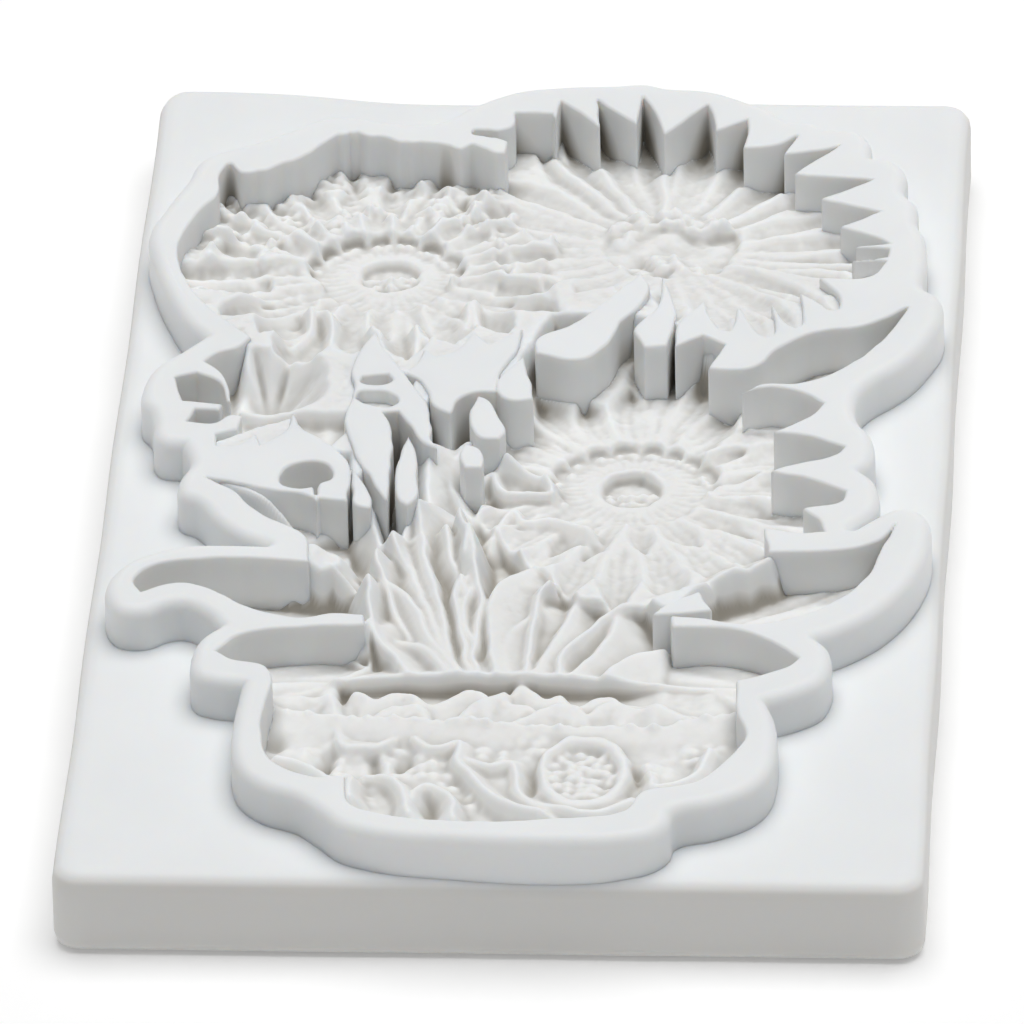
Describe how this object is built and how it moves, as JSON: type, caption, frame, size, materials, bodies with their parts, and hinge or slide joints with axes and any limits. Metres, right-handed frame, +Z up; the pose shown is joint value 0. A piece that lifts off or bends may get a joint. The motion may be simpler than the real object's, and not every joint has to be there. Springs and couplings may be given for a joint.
{
  "type": "soap mould",
  "caption": "Rectangular silicone soap mould: a flat slab with a raised rim around the hollow negative of a flower bouquet in a pot.",
  "frame": {"origin": "middle of the flat underside", "axes": "+X across the slab, +Y along it from the pot towards the blooms, +Z up out of the cavity"},
  "size_m": [0.075, 0.135, 0.0119],
  "materials": {
    "silicone": "satin"
  },
  "bodies": {
    "root": {"base_slab": "silicone", "floor_curled_leaf": "silicone", "floor_grass": "silicone", "floor_left_upper_leaf": "silicone", "floor_lower_right_bloom": "silicone", "floor_pot": "silicone", "floor_pot_left_leaf": "silicone", "floor_pot_right_leaf": "silicone", "floor_right_lower_leaf": "silicone", "floor_right_upper_leaf": "silicone", "floor_small_flower": "silicone", "floor_upper_left_bloom": "silicone", "floor_upper_right_bloom": "silicone", "rim_curled_leaf": "silicone", "rim_left_upper_leaf": "silicone", "rim_lower_right_bloom": "silicone", "rim_pot": "silicone", "rim_pot_left_leaf": "silicone", "rim_pot_right_leaf": "silicone", "rim_right_lower_leaf": "silicone", "rim_right_upper_leaf": "silicone", "rim_small_flower": "silicone", "rim_upper_left_bloom": "silicone", "rim_upper_right_bloom": "silicone", "spike_back": "silicone", "spike_front": "silicone", "spike_left": "silicone", "spike_middle": "silicone", "spike_right": "silicone", "spike_rough": "silicone", "web_diagonal": "silicone", "web_prong": "silicone", "web_upper_left": "silicone", "web_upper_middle": "silicone"}
  },
  "joints": []
}
